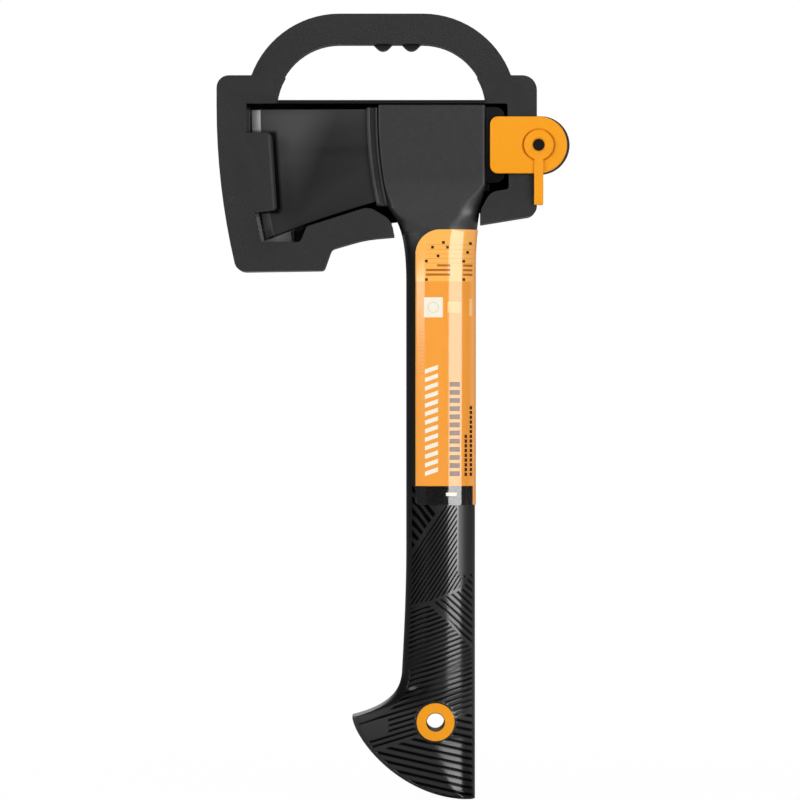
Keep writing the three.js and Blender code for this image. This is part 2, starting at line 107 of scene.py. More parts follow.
def bezier(p0, p1, p2, p3, count=40):
    """Points on a cubic curve from p0 to p3."""
    t = np.linspace(0, 1, count)[:, None]
    p0, p1, p2, p3 = (np.array(p, float) for p in (p0, p1, p2, p3))
    return (1 - t) ** 3 * p0 + 3 * (1 - t) ** 2 * t * p1 + 3 * (1 - t) * t**2 * p2 + t**3 * p3


def housing_front(z):
    """The x of the moulding's front edge at height z. It curves towards the spine on its way down."""
    drop = np.maximum(0, COLLAR["top"] - z)
    return COLLAR["x"] + COLLAR["step"] + drop**2 / (2 * COLLAR["radius"])


def throat(count):
    """The curve from the hook's tip up to the grip's finger side."""
    return bezier(HOOK_TIP, (-26.5, 46), (-20.6, 54), THROAT_END, count)


FINGER_EDGE = np.vstack([
    bezier((10, 0), (-21, 2.2), (-43.4, 29.5), HOOK_TIP, 90),
    throat(90)[1:],
    bezier(THROAT_END, (-18.6, 82), (FINGER_SIDE, 104), (FINGER_SIDE, 128))[1:],
    bezier((FINGER_SIDE, NECK_FOOT), (-17.6, 284), (-21, 292), (-26.5, 298.3)),
    [(housing_front(COLLAR["bottom"]), COLLAR["bottom"])],
])
SPINE_EDGE = np.vstack([
    [(SPINE, 0)],
    bezier((SPINE, 268), (SPINE, 284), (19.2, 296), (HOUSING_BACK, 310.5)),
    [(HOUSING_BACK, LENGTH)],
])
LEAST_FLAT = 0.2  # a section's rounded corners end at least this far short of its middle


def edge_at(edge, z):
    """The x of an edge at height z."""
    return np.interp(z, edge[:, 1], edge[:, 0])


# z, half thickness, front corner (rx, ry), back corner (rx, ry): the grip is a full oval
STATIONS = np.array([
    (0, 11.6, 1.6, 1.6, 31, 11),
    (26, 12.3, 2.2, 2.2, 31, 12),
    (42, 12.7, 2.4, 2.4, 22, 12.4),
    (58, 12.6, 18, 12.4, 18, 12.4),
    (120, 12.2, 18, 12, 18, 12),
    (268, 11.6, 18, 11.4, 18, 11.4),
    (286, 11.5, 16, 11, 17, 11.2),
    (296, 11.5, 4, 5, 11, 7.5),
    (312, 11.5, 1, 1, 1.4, 1.4),
    (LENGTH, 11.5, 1, 1, 1.4, 1.4),
], float)


def station(z):
    """The half thickness and the corner radii at height z."""
    i = int(np.clip(np.searchsorted(STATIONS[:, 0], z), 1, len(STATIONS) - 1))
    a, b = STATIONS[i - 1], STATIONS[i]
    t = min(max((z - a[0]) / (b[0] - a[0]), 0), 1)
    return a[1:] + (b[1:] - a[1:]) * (t * t * (3 - 2 * t))


def half_section(z, grow=0.0, steps=24):
    """One side of the cross-section at height z, from the finger edge to the spine: x and |y|."""
    half, front_x, front_y, back_x, back_y = station(z)
    left = float(housing_front(z) if z >= COLLAR["bottom"] else edge_at(FINGER_EDGE, z)) - grow
    right = float(edge_at(SPINE_EDGE, z)) + grow
    room = (right - left) / 2 - LEAST_FLAT
    turn = np.linspace(0, math.pi / 2, steps + 1)
    fx, fy = min(front_x + grow, room), front_y + grow
    bx, by = min(back_x + grow, room), back_y + grow
    top = half + grow
    front = np.column_stack([left + fx - fx * np.cos(turn), top - fy + fy * np.sin(turn)])
    back = np.column_stack([right - bx + bx * np.sin(turn), top - by + by * np.cos(turn)])
    return np.vstack([[(left, 0)], front, back, [(right, 0)]])


def spread(points, count):
    """The same open line with count points, evenly spaced along it."""
    step = np.hypot(*np.diff(points, axis=0).T)
    along = np.concatenate([[0], np.cumsum(step)])
    keep = np.concatenate([[True], step > 1e-9])
    at = np.linspace(0, along[-1], count)
    return np.column_stack([np.interp(at, along[keep], points[keep, k]) for k in (0, 1)])


# ---- Ribs of the grip -------------------------------------------------------------------------

RIB_DEPTH = 0.45
RIB_TOP = 190.0  # there are no ribs above this height
BORDER = 0.65  # half the width of the raised line between two fields of ribs
BLUR = 0.2  # a field of ribs starts and ends this softly
MARGIN_BLUR = 0.3
FINGER_MARGIN = 2.6  # width of the smooth strip along the finger side
THROAT_MARGIN = 4.2
SPINE_MARGIN = 1.5


def side_of(x, z, points):
    """Signed distance to a bent line, positive on its left when walked along; ends run on straight."""
    points = np.array(points, float)
    best = None
    for k in range(len(points) - 1):
        a, b = points[k], points[k + 1]
        d = (b - a) / np.hypot(*(b - a))
        along = (x - a[0]) * d[0] + (z - a[1]) * d[1]
        low = -1e9 if k == 0 else 0.0
        high = 1e9 if k == len(points) - 2 else np.hypot(*(b - a))
        near = np.clip(along, low, high)
        off = np.hypot(x - a[0] - near * d[0], z - a[1] - near * d[1])
        sign = np.sign(d[0] * (z - a[1]) - d[1] * (x - a[0]))
        here = off * np.where(sign == 0, 1, sign)
        best = here if best is None else np.where(np.abs(here) < np.abs(best), here, best)
    return best


def smooth(low, high, value):
    """0 up to low, 1 from high on, and a soft step between them."""
    t = np.clip((value - low) / (high - low), 0, 1)
    return t * t * (3 - 2 * t)


def grooves(x, z, degrees, pitch, width, soft=0.22, shift=0.0):
    """1 in the grooves between ribs that run at degrees above the x axis, 0 on the ribs."""
    turn = math.radians(degrees)
    across = -x * math.sin(turn) + z * math.cos(turn) + shift
    from_groove = np.abs((across / pitch) % 1 - 0.5) * pitch
    return 1 - smooth(width / 2 - soft, width / 2 + soft, from_groove)


# The degrees above the x axis, the pitch and the groove's width in each field of ribs.
WIDE_RIBS = (-51, 3.6, 2.3)
FINE_RIBS = (57, 1.76, 0.85)
RIGHT_RIBS = (-42, 2.73, 1.15)
STRIP_RIBS = (-40, 2.8, 1.15)
LOW_RIBS = (17, 2.62, 1.15)
MIDDLE_RIBS = (20.5, 2.3, 1.05)
BUTT_RIBS = (-13, 3.53, 1.5)
FAN = (40, 90)  # the low ribs turn into the middle ones over these heights
PATCH_RIGHT = -26.5  # the plain patch in the hook ends here
STRIP_TOP = 113

# The lines between the fields.
UPPER_LINE = [(-17.8, 119.9), (0.8, 148.2), (8, 159.2)]
LOWER_LINE = [(-20, 95.9), (-15.5, 96.9), (-6.1, 99.1), (10.1, 106.1), (14, 113)]
TOP_RIB = [(-1.5, 143.8), (-14.3, 159.3), (-14.3, 200)]
PATCH_TOP = [(-46, 36.6), (-25.8, 41.4), (-20, 43.4)]
PATCH_FOOT = [(-44, 27.4), (-36.7, 29.8), (-20, 35.2)]
SPINE_LINE = [(8.8, 200), (8.8, 115.5), (11.2, 111.5), (16.4, 107.5)]
RIGHT_LINE = [(-6.1, 99.1), (2.9, 90.8), (9.6, 83.2), (17, 75.5)]
BUTT_LINE = [(-36, 23.4), (-12.3, 32.0), (9.7, 41.8), (20, 46.6)]


def groove_field(x, z):
    """How deep the grip's surface lies under its smooth envelope at x, z: 0 on ribs, 1 in grooves."""
    above_upper = side_of(x, z, UPPER_LINE)
    above_lower = side_of(x, z, LOWER_LINE)
    left_of_spine = -side_of(x, z, SPINE_LINE)
    above_right = side_of(x, z, RIGHT_LINE)
    above_butt = side_of(x, z, BUTT_LINE)

    def inside(*distances):
        return np.prod([smooth(BORDER - BLUR, BORDER + BLUR, d) for d in distances], axis=0)

    fan = np.clip((z - FAN[0]) / (FAN[1] - FAN[0]), 0, 1)
    clear = inside(side_of(x, z, TOP_RIB))
    patch = inside(-side_of(x, z, PATCH_TOP), side_of(x, z, PATCH_FOOT)) * (x < PATCH_RIGHT)
    wide = grooves(x, z, *WIDE_RIBS, shift=0.6) * inside(above_upper, left_of_spine) * clear
    fine = grooves(x, z, *FINE_RIBS, soft=0.2) * inside(-above_upper, above_lower, left_of_spine)
    right = grooves(x, z, *RIGHT_RIBS) * inside(above_right, -above_lower)
    strip = grooves(x, z, *STRIP_RIBS) * inside(above_right, above_lower, -left_of_spine)
    strip = strip * (z < STRIP_TOP)
    middle = (1 - fan) * grooves(x, z, *LOW_RIBS) + fan * grooves(x, z, *MIDDLE_RIBS)
    middle = middle * inside(-above_right, -above_lower, above_butt) * (1 - patch)
    butt = grooves(x, z, *BUTT_RIBS) * inside(-above_butt)
    return np.clip(wide + fine + right + strip + middle + butt, 0, 1)


def smooth_margins(x, z):
    """0 on the strips that are left smooth along the grip's edges, 1 inside them."""
    finger = edge_at(FINGER_EDGE, z)
    from_throat = np.min([np.hypot(x - a, z - b) for a, b in throat(30)], axis=0)
    past_finger = np.minimum(x - finger - FINGER_MARGIN, from_throat - THROAT_MARGIN)
    past_spine = SPINE - SPINE_MARGIN - x
    return smooth(-MARGIN_BLUR, MARGIN_BLUR, past_finger) * smooth(-MARGIN_BLUR, MARGIN_BLUR, past_spine)


def from_bush(x, z):
    """Distance from the rim of the lanyard bush's flange."""
    return np.hypot(x - EYELET_X, z - EYELET_Z) - EYELET_R


# ---- Mesh helpers -----------------------------------------------------------------------------


def linked(name, data):
    """A new object in the scene."""
    made = bpy.data.objects.new(name, data)
    bpy.context.scene.collection.objects.link(made)
    return made


def new_object(name, points, faces, smooth_shading=True):
    mesh = bpy.data.meshes.new(name)
    mesh.from_pydata([tuple(p) for p in points], [], [tuple(f) for f in faces])
    mesh.validate()
    mesh.polygons.foreach_set("use_smooth", [smooth_shading] * len(mesh.polygons))
    return linked(name, mesh)


def face_out(piece):
    """Turns all faces outwards."""
    mesh = bmesh.new()
    mesh.from_mesh(piece.data)
    bmesh.ops.recalc_face_normals(mesh, faces=mesh.faces)
    mesh.to_mesh(piece.data)
    mesh.free()
    return piece


def loft_faces(rings, count, closed=True):
    """Quads between rings of count points, numbered ring by ring."""
    faces = []
    last = count if closed else count - 1
    for r in range(rings - 1):
        base = r * count
        for i in range(last):
            j = (i + 1) % count
            faces.append((base + i, base + j, base + count + j, base + count + i))
    return faces


def lofted(name, rings):
    """A solid through closed rings of points in drawing millimetres, with flat ends."""
    count = len(rings[0])
    faces = loft_faces(len(rings), count)
    faces.append(tuple(range(count))[::-1])
    faces.append(tuple((len(rings) - 1) * count + i for i in range(count)))
    return face_out(new_object(name, place(np.vstack(rings)), faces))


def slab(name, outer, inner):
    """A closed thin piece between two grids of points of the same shape (rows, columns, 3)."""
    rows, columns = outer.shape[:2]
    count = rows * columns
    sheet = loft_faces(rows, columns, closed=False)
    faces = sheet + [tuple(i + count for i in f)[::-1] for f in sheet]
    index = np.arange(count).reshape(rows, columns)
    rim = np.concatenate([index[0], index[1:, -1], index[-1, -2::-1], index[-2:0:-1, 0]])
    for a, b in zip(rim, np.roll(rim, -1)):
        faces.append((int(b), int(a), int(a) + count, int(b) + count))
    points = np.vstack([outer.reshape(-1, 3), inner.reshape(-1, 3)])
    return face_out(new_object(name, place(points), faces))


def joined(name, pieces):
    """Several new objects as one."""
    mesh = bmesh.new()
    for piece in pieces:
        mesh.from_mesh(piece.data)
        bpy.data.objects.remove(piece)
    data = bpy.data.meshes.new(name)
    mesh.to_mesh(data)
    mesh.free()
    return linked(name, data)


def bake_modifiers(piece):
    """Makes what the modifiers do a part of the mesh."""
    graph = bpy.context.evaluated_depsgraph_get()
    data = bpy.data.meshes.new_from_object(piece.evaluated_get(graph))
    piece.modifiers.clear()
    piece.data = data
    return piece


def combine(piece, tool, operation):
    """Joins a closed tool to a piece, or cuts it away."""
    step = piece.modifiers.new("combine", "BOOLEAN")
    step.object = tool
    step.operation = operation
    step.solver = "MANIFOLD"
    bake_modifiers(piece)
    bpy.data.objects.remove(tool)
    return piece


def turned(name, profile, x, z, sides=96):
    """A body of revolution about an axis along y through x, z. The profile is a closed loop of (r, y)."""
    turn = np.linspace(0, 2 * math.pi, sides, endpoint=False)
    rings = np.vstack([
        np.column_stack([x + r * np.cos(turn), np.full(sides, y), z + r * np.sin(turn)]) for r, y in profile
    ])
    faces = loft_faces(len(profile), sides)
    last = (len(profile) - 1) * sides
    for i in range(sides):
        j = (i + 1) % sides
        faces.append((last + i, last + j, j, i))
    return face_out(new_object(name, place(rings), faces))


def sharpen(piece, angle=38):
    """Smooth shading, with sharp edges where the faces turn by more than angle."""
    piece.data.polygons.foreach_set("use_smooth", [True] * len(piece.data.polygons))
    piece.data.set_sharp_from_angle(angle=math.radians(angle))
    return piece


# ---- Handle -----------------------------------------------------------------------------------

RIB_STEP = 0.42  # between two cross-sections of the ribbed part
NECK_STEP = 0.9
PLAIN_STEP = 3.0
SHOULDER = 316.0  # the sections change little above this height
SIDE_POINTS = 121
BUSH_MARGIN = (0.8, 1.2)  # the grooves start between these distances from the bush's flange
TOP_ROUND = 0.5  # radius of the housing's top edge


def handle_levels():
    """Heights of the cross-sections, close together where the shape changes."""
    bottom = COLLAR["bottom"]
    ribbed = np.arange(0.15, RIB_TOP, RIB_STEP)
    plain = np.arange(RIB_TOP, NECK_FOOT, PLAIN_STEP)
    neck = np.arange(NECK_FOOT, bottom - 0.4, NECK_STEP)
    housing = np.arange(bottom + 0.1, SHOULDER, NECK_STEP)
    top = np.arange(SHOULDER, LENGTH - 0.8, PLAIN_STEP)
    rim = LENGTH - np.array([0.6, 0.35, 0.15, 0.0])
    return np.concatenate([[0.0], ribbed, plain, neck, [bottom - 0.05], housing, top, rim])


def top_inset(z):
    """How far the wall draws in at height z, where the housing's top edge is rounded."""
    up = max(0.0, z - (LENGTH - TOP_ROUND))
    return TOP_ROUND - math.sqrt(max(TOP_ROUND**2 - up**2, 0))


def handle_ring(z):
    """The closed cross-section at height z, with the ribs' grooves pressed into it."""
    side = spread(half_section(z, -top_inset(z)), SIDE_POINTS)
    x, y = side[:, 0], side[:, 1]
    if z < RIB_TOP:
        dx, dy = np.gradient(x), np.gradient(y)
        size = np.maximum(np.hypot(dx, dy), 1e-9)
        depth = RIB_DEPTH * groove_field(x, np.full_like(x, z)) * smooth_margins(x, z)
        depth = depth * smooth(*BUSH_MARGIN, from_bush(x, z))
        x, y = x + dy / size * depth, y - dx / size * depth
    front = np.column_stack([x, -y, np.full_like(x, z)])
    back = np.column_stack([x, y, np.full_like(x, z)])[-2:0:-1]
    return np.vstack([front, back])


END_CHAMFER = 0.35  # of the collar's two ends
# Half of the collar's cross-section: distance behind its front line, and half thickness.
COLLAR_PROFILE = [
    (0.0, 6.4), (0.05, 7.5), (0.2, 7.75), (1.85, 8.5), (2.05, 8.3), (2.15, 6.6), (4.3, 6.6), (4.4, 8.35),
    (4.5, 8.5), (5.35, 8.95), (5.45, 8.8), (5.5, 6.6), (7.8, 6.6),
]


def collar_band():
    """The two ribs that edge the moulding where the blade leaves it."""
    foot, end = COLLAR["bottom"], COLLAR["end"]
    rings = []
    for z in np.concatenate([[foot], np.linspace(foot + 0.5, end - 0.4, 60), [end]]):
        line = housing_front(z) - COLLAR["step"]
        inset = END_CHAMFER if z in (foot, end) else 0.0
        half = [(line + s + (inset if s == 0 else 0), y - inset) for s, y in COLLAR_PROFILE]
        rings.append([(x, -y, z) for x, y in half] + [(x, y, z) for x, y in half[::-1]])
    return lofted("collar", rings)


BORE = 6.35  # the hole that the lanyard bush goes through
FLANGE_SEAT = station(EYELET_Z)[0] - 1.6  # the flanges sit in seats this far from the middle plane
SATIN_STRIP = (8.9, 112)  # a dull strip lies past this x and above this height
GROOVE_BLEND = 0.35  # how much of the mesh's own direction shows in the grooves
HOOK_TOP = 56.0  # above it the surface is shaded as if it ran straight up
COLUMN_STEP = 0.5


def envelope_slopes(x, z):
    """How the grip's smooth half thickness changes along x and along z, at the places x, z."""
    columns, rows = np.arange(-47, 19, COLUMN_STEP), np.arange(0, RIB_TOP + 2, 1.0)
    height = np.empty((len(rows), len(columns)))
    for i, level in enumerate(rows):
        side = half_section(level)
        height[i] = np.interp(columns, side[:, 0], side[:, 1])
    along_z, along_x = np.gradient(height, 1.0, COLUMN_STEP)
    u = np.clip((x - columns[0]) / COLUMN_STEP, 0, len(columns) - 1.001)
    v = np.clip(z, 0, len(rows) - 1.001)
    i, j = v.astype(int), u.astype(int)
    fu, fv = u - j, v - i

    def read(table):
        """The table's value between its four nearest entries."""
        low = table[i, j] * (1 - fu) + table[i, j + 1] * fu
        high = table[i + 1, j] * (1 - fu) + table[i + 1, j + 1] * fu
        return low * (1 - fv) + high * fv

    return read(along_x), read(along_z)


def mark_finish(piece):
    """Stores for the material: grooves, rib tops, satin parts, and the smooth surface's direction."""
    mesh = piece.data
    points = np.empty(len(mesh.vertices) * 3)
    mesh.vertices.foreach_get("co", points)
    x, y, z = ((points.reshape(-1, 3) - np.array([0.0, MIDDLE_Y, BUTT_Z])) / MM).T
    below_top = z < RIB_TOP
    ribbed = smooth_margins(x, z) * below_top
    margin = (1 - smooth_margins(x, z)) * below_top
    groove = groove_field(x, z) * ribbed * smooth(*BUSH_MARGIN, from_bush(x, z))
    ridge = ribbed * smooth(BUSH_MARGIN[1], BUSH_MARGIN[1] + 0.3, from_bush(x, z))
    strip_x, strip_z = SATIN_STRIP
    strip = smooth(strip_x - 0.2, strip_x + 0.2, x) * smooth(strip_z - 2, strip_z + 2, z)
    along_x, along_z = envelope_slopes(x, z)
    along_z = along_z * (1 - smooth(HOOK_TOP - 2, HOOK_TOP + 2, z))
    facing = np.column_stack([-along_x, np.sign(y), -along_z])
    facing /= np.linalg.norm(facing, axis=1)[:, None]
    stored = {
        "groove": groove,
        "ridge": ridge * (1 - GROOVE_BLEND * groove),
        "satin": np.maximum(strip, margin),
    }
    for name, values in stored.items():
        mesh.attributes.new(name, "FLOAT", "POINT").data.foreach_set("value", values.astype(np.float32))
    facing = facing.astype(np.float32).ravel()
    mesh.attributes.new("envelope", "FLOAT_VECTOR", "POINT").data.foreach_set("vector", facing)


def bush_seat():
    """A tool that cuts the bush's bore and the seats of its two flanges."""
    seat, deep = EYELET_R + 0.7, 20
    profile = [(0.01, -deep), (seat, -deep), (seat, -FLANGE_SEAT), (BORE, -FLANGE_SEAT),
               (BORE, FLANGE_SEAT), (seat, FLANGE_SEAT), (seat, deep), (0.01, deep)]
    return turned("seat", profile, EYELET_X, EYELET_Z)


def make_handle():
    piece = lofted("handle_shell", [handle_ring(z) for z in handle_levels()])
    combine(piece, collar_band(), "UNION")
    combine(piece, bush_seat(), "DIFFERENCE")
    sharpen(piece)
    mark_finish(piece)
    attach(piece, AXE)
    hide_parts("handle")
    return piece


# ---- Label ------------------------------------------------------------------------------------

FILM = 0.45  # outside of the film above the handle's envelope
FILM_THICKNESS = 0.25
PRINT_LIFT = 0.05  # the print stands this far out of the film, and reaches as far into it
OVERPRINT_LIFT = 0.03  # print that lies over other print stands out further by this
BAND_Z = LABEL_Z0 + 9.6  # the film is clear below this height and printed above it
LABEL_CORNER = 12.6
LABEL_FOOT = 2.0


def film_left(z):
    """The film's left edge at height z: straight, with a large upper and a small lower corner."""
    up = max(0.0, z - (LABEL_Z1 - LABEL_CORNER))
    down = max(0.0, LABEL_Z0 + LABEL_FOOT - z)
    inset = LABEL_CORNER - math.sqrt(max(LABEL_CORNER**2 - up**2, 0))
    return LABEL_X + inset + LABEL_FOOT - math.sqrt(max(LABEL_FOOT**2 - down**2, 0))


def on_film(x, z, lift):
    """Points on the front of the film at the places x, all at height z, lifted off the envelope."""
    side = half_section(z, lift, 40)
    return np.column_stack([x, -np.interp(x, side[:, 0], side[:, 1]), np.full_like(x, z)])


def film_row(z, lift, count=70):
    """The film's section at height z: round the spine from its front edge to its back edge."""
    side = half_section(z, lift, 40)
    right = side[-1, 0]
    turn = np.linspace(0, math.pi / 2, count)
    x = right - (right - film_left(z)) * (1 - np.sin(turn))
    y = np.interp(x, side[:, 0], side[:, 1])
    front = np.column_stack([x, -y, np.full_like(x, z)])
    back = np.column_stack([x, y, np.full_like(x, z)])[::-1]
    return np.vstack([front[:-1], [(right, 0, z)], back[1:]])


def make_film():
    top = LABEL_Z1 - LABEL_CORNER + LABEL_CORNER * np.sin(np.linspace(0, math.pi / 2, 24))
    foot = LABEL_Z0 + LABEL_FOOT * (1 - np.cos(np.linspace(0, math.pi / 2, 8)))
    levels = np.concatenate([foot, np.linspace(LABEL_Z0 + LABEL_FOOT, top[0], 60)[1:-1], top])
    outer = np.array([film_row(z, FILM) for z in levels])
    inner = np.array([film_row(z, FILM - FILM_THICKNESS) for z in levels])
    piece = sharpen(slab("label_film", outer, inner), 60)
    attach(piece, AXE)
    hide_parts("label_sleeve")
    return piece


def print_patch(x0, x1, z0, z1, slant=0.0):
    """A printed rectangle on the front of the film; slant raises its right side."""
    columns = max(2, math.ceil((x1 - x0) / 0.5) + 1)
    rows = max(2, math.ceil((z1 - z0) / 4) + 1)
    xs = np.linspace(x0, x1, columns)

    def sheet(lift):
        made = np.array([on_film(xs, z, lift) for z in np.linspace(z0, z1, rows)])
        made[:, :, 2] += slant * (xs - x0)
        return made

    return slab("patch", sheet(FILM + PRINT_LIFT), sheet(FILM - PRINT_LIFT))


def print_dot(x, z, size=1.4):
    return print_patch(x - size / 2, x + size / 2, z - size / 2, z + size / 2)


def print_column(x0, x1, z0, z1, pitch, fill, slant=0.0):
    """A column of plain bars from z0 up to z1."""
    starts = np.arange(z0, z1 - pitch * fill, pitch)
    return [print_patch(x0, x1, z, z + pitch * fill, slant) for z in starts]


def print_ring(x, z, radius, width, sides=28):
    """A printed ring, as short straight pieces of it."""
    made = []
    for k in range(sides):
        turn = 2 * math.pi * k / sides
        cx, cz = x + radius * math.cos(turn), z + radius * math.sin(turn)
        made.append(print_patch(cx - width / 2, cx + width / 2, cz - width / 2, cz + width / 2))
    return made


PRINT_TOP = LABEL_Z1
PRINT_FOOT = LABEL_Z0 + 14.6  # where the columns of bars start


def print_rule(x0, x1, down, width):
    """A printed level line, down from the label's top."""
    z = PRINT_TOP - down
    return print_patch(x0, x1, z - width / 2, z + width / 2)


def dark_print():
    dots = [(1.3, 6.6), (-4.2, 9.0), (3.4, 9.0), (15.0, 7.0), (13.6, 11.5), (-1.4, 13.4), (-7.3, 16.0),
            (11.6, 16.0), (-7.3, 25.3), (11.6, 25.3)]
    made = [print_dot(x, PRINT_TOP - down) for x, down in dots]
    made += print_column(12.0, 13.3, PRINT_FOOT, PRINT_FOOT + 21.5, 2.4, 0.72)
    return made + print_column(14.6, 15.9, PRINT_FOOT, PRINT_FOOT + 35.5, 2.4, 0.72)


def brown_print():
    """Three rows of two rules each."""
    rows = ((18.2, -1.9), (20.5, -7.5), (22.8, -7.5))
    return [print_rule(*ends, down, 1.1) for down, left in rows for ends in ((left, 4.8), (11.2, 16.0))]


def white_print():
    made = [print_patch(-8.5, 1.0, PRINT_TOP - 44.4, PRINT_TOP - 34.3)]
    made += print_column(-8, -1.4, PRINT_FOOT, PRINT_FOOT + 56.5, 4.3, 0.52, 0.35)
    return made + [print_patch(2.6, 8.0, LABEL_Z0 + 4.6, LABEL_Z0 + 6.3)]


def rule_print():
    made = [print_rule(-7.5, 16.2, down, 0.24) for down in (7.8, 10.1, 12.4, 14.7, 17)]
    return made + print_column(-10.4, -8.8, PRINT_TOP - 73, PRINT_TOP - 51, 1.9, 0.4)


def pale_print():
    return [print_patch(3.4, 10.4, PRINT_TOP - 42, PRINT_TOP - 36.5),
            print_patch(14.4, 16.2, PRINT_TOP - 43.5, PRINT_TOP - 35)]


def make_print():
    """Plain shapes in place of printed matter: dots, rules, a square and columns of bars."""
    for name, patches, color in (
        ("print_dark", dark_print(), (70, 32, 14)),
        ("print_brown", brown_print(), (178, 98, 32)),
        ("print_white", white_print(), (238, 232, 214)),
        ("print_ring", print_ring(-3.75, PRINT_TOP - 39.35, 2.6, 0.5), (214, 214, 190)),
        ("print_grey", print_column(4.4, 9.6, PRINT_FOOT, PRINT_FOOT + 49, 4.1, 0.6), (118, 94, 74)),
        ("print_rules", rule_print(), (222, 148, 62)),
        ("print_pale", pale_print(), (250, 200, 132)),
    ):
        piece = joined(name, patches)
        if name == "print_ring":
            raise_print(piece, OVERPRINT_LIFT)
        sharpen(piece, 60)
        assign(piece, printed(name, linear(*color)))
        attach(piece, AXE)


def raise_print(piece, height):
    """Lifts print that lies over other print, so that the two don't share a surface."""
    for vertex in piece.data.vertices:
        vertex.co.y -= height * MM


# ---- Materials --------------------------------------------------------------------------------
# Places in the materials are metres in the frame.


class Nodes:
    """A short way to write the nodes of a new material or world."""

    def __init__(self, owner):
        self.owner = owner
        owner.use_nodes = True
        self.tree = owner.node_tree
        self.tree.nodes.clear()
        self.at = self.add("ShaderNodeTexCoord").outputs["Object"]
        self.x, self.y, self.z = self.add("ShaderNodeSeparateXYZ", {0: self.at}).outputs

    def add(self, kind, inputs=(), **settings):
        node = self.tree.nodes.new(kind)
        for key, value in settings.items():
            setattr(node, key, value)
        for key, value in dict(inputs).items():
            if isinstance(value, bpy.types.NodeSocket):
                self.tree.links.new(value, node.inputs[key])
            else:
                node.inputs[key].default_value = value
        return node

    def math(self, operation, a, b=0.0, c=0.0, clamp=False):
        return self.add("ShaderNodeMath", {0: a, 1: b, 2: c}, operation=operation, use_clamp=clamp).outputs[0]

    def scaled(self, value, factor, offset=0.0, clamp=False):
        """value times factor, plus offset."""
        return self.math("MULTIPLY_ADD", value, factor, offset, clamp)

    def product(self, *values):
        made = values[0]
        for value in values[1:]:
            made = self.math("MULTIPLY", made, value)
        return made

    def largest(self, *values):
        made = values[0]
        for value in values[1:]:
            made = self.math("MAXIMUM", made, value)
        return made

    def opposite(self, mask):
        """0 where the mask is 1, and 1 where it is 0."""
        return self.math("SUBTRACT", 1.0, mask)

    def above(self, value, edge, soft):
        """0 below edge and 1 above it, with a change that reaches soft to either side."""
        ends = {0: value, 1: edge - soft, 2: edge + soft, 3: 0.0, 4: 1.0}
        return self.add("ShaderNodeMapRange", ends).outputs[0]

    def below(self, value, edge, soft):
        return self.opposite(self.above(value, edge, soft))

    def between(self, value, low, high, soft):
        return self.product(self.above(value, low, soft), self.below(value, high, soft))

    def radius(self, x, z):
        """Distance from an axis along y through x, z."""
        dx = self.math("SUBTRACT", self.x, x)
        dz = self.math("SUBTRACT", self.z, z)
        return self.math("SQRT", self.math("ADD", self.product(dx, dx), self.product(dz, dz)))

    def mix(self, factor, a, b):
        return self.add("ShaderNodeMix", {0: factor, 6: a, 7: b}, data_type="RGBA").outputs[2]

    def noise(self, scale, detail=2, at=None):
        at = self.at if at is None else at
        return self.add("ShaderNodeTexNoise", {"Vector": at, "Scale": scale, "Detail": detail}).outputs["Fac"]

    def stored(self, name, output="Fac"):
        """A value that is stored on the mesh."""
        return self.add("ShaderNodeAttribute", attribute_name=name).outputs[output]

    def worn_edges(self, threshold):
        """0 on flat faces and up to 1 on outer edges; fewer edges at a higher threshold."""
        pointiness = self.add("ShaderNodeNewGeometry").outputs["Pointiness"]
        return self.scaled(pointiness, 14, -threshold, clamp=True)

    def bump(self, strength, height, distance=0.0002, normal=None):
        inputs = {"Strength": strength, "Distance": distance, "Height": height}
        if normal is not None:
            inputs["Normal"] = normal
        return self.add("ShaderNodeBump", inputs).outputs[0]

    def surface(self, inputs):
        """The finished material, made of one surface shader."""
        return self.finish(self.add("ShaderNodeBsdfPrincipled", inputs).outputs[0])

    def finish(self, shader, kind="ShaderNodeOutputMaterial"):
        self.add(kind, {"Surface": shader})
        return self.owner


def new_material(name):
    return Nodes(bpy.data.materials.new(name))


def assign(piece, material):
    piece.data.materials.clear()
    piece.data.materials.append(material)


def grey(value):
    return (value, value, value, 1)


def linear(r, g, b):
    """An sRGB colour from 0 to 255 as a linear one."""
    return tuple(((v / 255 + 0.055) / 1.055) ** 2.4 if v > 10 else v / 255 / 12.92 for v in (r, g, b)) + (1,)


def toned(color, factors):
    """A colour with its red, green and blue multiplied by factors."""
    return tuple(v * f for v, f in zip(color, factors)) + (1,)


ORANGE = linear(230, 146, 14)
ORANGE_PRINT = linear(240, 158, 62)
PALE_PRINT = linear(246, 178, 86)
# painted light: a lighter orange along the film's edge round the spine
FILM_EDGE_LIGHT = linear(255, 176, 96)
HATCH_TURN_X = -0.075  # the moulded lines lean less on the arm below the blade than on the frame


def hatch(n, degrees, pitch):
    """Fine moulded lines that run at degrees above the x axis: 0 to 1 across each one."""
    turn = math.radians(degrees)
    normal = (-math.sin(turn), 0, math.cos(turn))
    across = n.add("ShaderNodeVectorMath", {0: n.at, 1: normal}, operation="DOT_PRODUCT").outputs["Value"]
    phase = n.scaled(across, 2 * math.pi / pitch, n.product(n.noise(60), 2.5))
    return n.scaled(n.math("SINE", phase), 0.5, 0.5)


